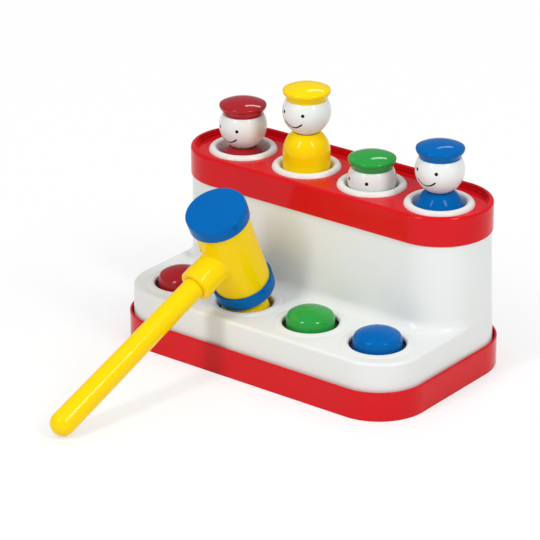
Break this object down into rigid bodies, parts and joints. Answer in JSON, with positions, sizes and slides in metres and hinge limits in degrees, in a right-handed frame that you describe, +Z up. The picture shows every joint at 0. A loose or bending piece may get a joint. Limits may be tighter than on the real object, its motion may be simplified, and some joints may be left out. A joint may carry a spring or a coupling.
{
  "type": "hammer and pop-up peg people toy",
  "caption": "Toddler's hammering bench: pressing or striking a domed button rocks a hidden lever that pops a little peg person up out of its collar; with a two-faced toy mallet.",
  "frame": {"origin": "middle of the tray's underside, on the floor", "axes": "+X along the four columns from the red one to the blue one, -Y towards the child and the buttons, +Z up"},
  "size_m": [0.2816, 0.3422, 0.2082],
  "materials": {
    "tray_red": "glossy moulded plastic",
    "housing_white": "satin moulded plastic",
    "sleeve_white": "glossy moulded plastic",
    "head_white": "glossy moulded plastic with printed face",
    "mechanism_white": "natural moulded plastic",
    "peg_red": "glossy moulded plastic",
    "yellow": "glossy moulded plastic",
    "green": "glossy moulded plastic",
    "blue": "glossy moulded plastic",
    "steel": "plain steel"
  },
  "bodies": {
    "base": {"base_tray": "tray_red", "housing": "housing_white", "top_cap": "tray_red", "lever_shaft": "steel", "base_screws": "steel", "guide_sleeve_red": "sleeve_white", "guide_sleeve_yellow": "sleeve_white", "guide_sleeve_green": "sleeve_white", "guide_sleeve_blue": "sleeve_white"},
    "button_red": {"button_red": "peg_red"},
    "lever_red": {"lever_red": "mechanism_white"},
    "peg_red": {"push_rod_red": "mechanism_white", "body_red": "peg_red", "head_red": "head_white", "hat_red": "peg_red"},
    "button_yellow": {"button_yellow": "yellow"},
    "lever_yellow": {"lever_yellow": "mechanism_white"},
    "peg_yellow": {"push_rod_yellow": "mechanism_white", "body_yellow": "yellow", "head_yellow": "head_white", "hat_yellow": "yellow"},
    "button_green": {"button_green": "green"},
    "lever_green": {"lever_green": "mechanism_white"},
    "peg_green": {"push_rod_green": "mechanism_white", "body_green": "green", "head_green": "head_white", "hat_green": "green"},
    "button_blue": {"button_blue": "blue"},
    "lever_blue": {"lever_blue": "mechanism_white"},
    "peg_blue": {"push_rod_blue": "mechanism_white", "body_blue": "blue", "head_blue": "head_white", "hat_blue": "blue"},
    "hammer": {"hammer_head": "yellow", "hammer_handle": "yellow", "hammer_cap_upper": "blue", "hammer_cap_lower": "blue"}
  },
  "joints": [
    {"name": "press_red", "type": "slide", "parent": "base", "child": "button_red", "axis": [0, 0, 1], "range_m": [-0.013, 0]},
    {"name": "rock_red", "type": "hinge", "parent": "base", "child": "lever_red", "pos_m": [-0.0975, -0.02136, 0.02], "axis": [1, 0, 0], "range_deg": [0, 40.82]},
    {"name": "pop_red", "type": "slide", "parent": "base", "child": "peg_red", "axis": [0, 0, 1], "range_m": [0, 0.0269]},
    {"name": "press_yellow", "type": "slide", "parent": "base", "child": "button_yellow", "axis": [0, 0, 1], "range_m": [-0.0062, 0.0068]},
    {"name": "rock_yellow", "type": "hinge", "parent": "base", "child": "lever_yellow", "pos_m": [-0.0325, -0.02136, 0.02], "axis": [1, 0, 0], "range_deg": [-21.35, 19.47]},
    {"name": "pop_yellow", "type": "slide", "parent": "base", "child": "peg_yellow", "axis": [0, 0, 1], "range_m": [-0.0428, 0]},
    {"name": "press_green", "type": "slide", "parent": "base", "child": "button_green", "axis": [0, 0, 1], "range_m": [-0.013, 0]},
    {"name": "rock_green", "type": "hinge", "parent": "base", "child": "lever_green", "pos_m": [0.0325, -0.02136, 0.02], "axis": [1, 0, 0], "range_deg": [0, 40.82]},
    {"name": "pop_green", "type": "slide", "parent": "base", "child": "peg_green", "axis": [0, 0, 1], "range_m": [0, 0.0428]},
    {"name": "press_blue", "type": "slide", "parent": "base", "child": "button_blue", "axis": [0, 0, 1], "range_m": [-0.013, 0]},
    {"name": "rock_blue", "type": "hinge", "parent": "base", "child": "lever_blue", "pos_m": [0.0975, -0.02136, 0.02], "axis": [1, 0, 0], "range_deg": [0, 40.82]},
    {"name": "pop_blue", "type": "slide", "parent": "base", "child": "peg_blue", "axis": [0, 0, 1], "range_m": [0, 0.0189]},
    {"name": "hammer_lift", "type": "slide", "parent": "base", "child": "hammer", "axis": [0, 0, 1], "range_m": [0, 0.12]}
  ],
  "couplings": [
    {"joint": "rock_red", "follows": "press_red", "rad_per_m": -54.803},
    {"joint": "pop_red", "follows": "press_red", "ratio": -2.0692},
    {"joint": "rock_green", "follows": "press_green", "rad_per_m": -54.803},
    {"joint": "pop_green", "follows": "press_green", "ratio": -3.2923},
    {"joint": "rock_blue", "follows": "press_blue", "rad_per_m": -54.803},
    {"joint": "pop_blue", "follows": "press_blue", "ratio": -1.4538},
    {"joint": "press_yellow", "follows": "hammer_lift", "ratio": 0.05666},
    {"joint": "rock_yellow", "follows": "hammer_lift", "rad_per_m": -3.1053},
    {"joint": "pop_yellow", "follows": "hammer_lift", "ratio": -0.3566}
  ]
}
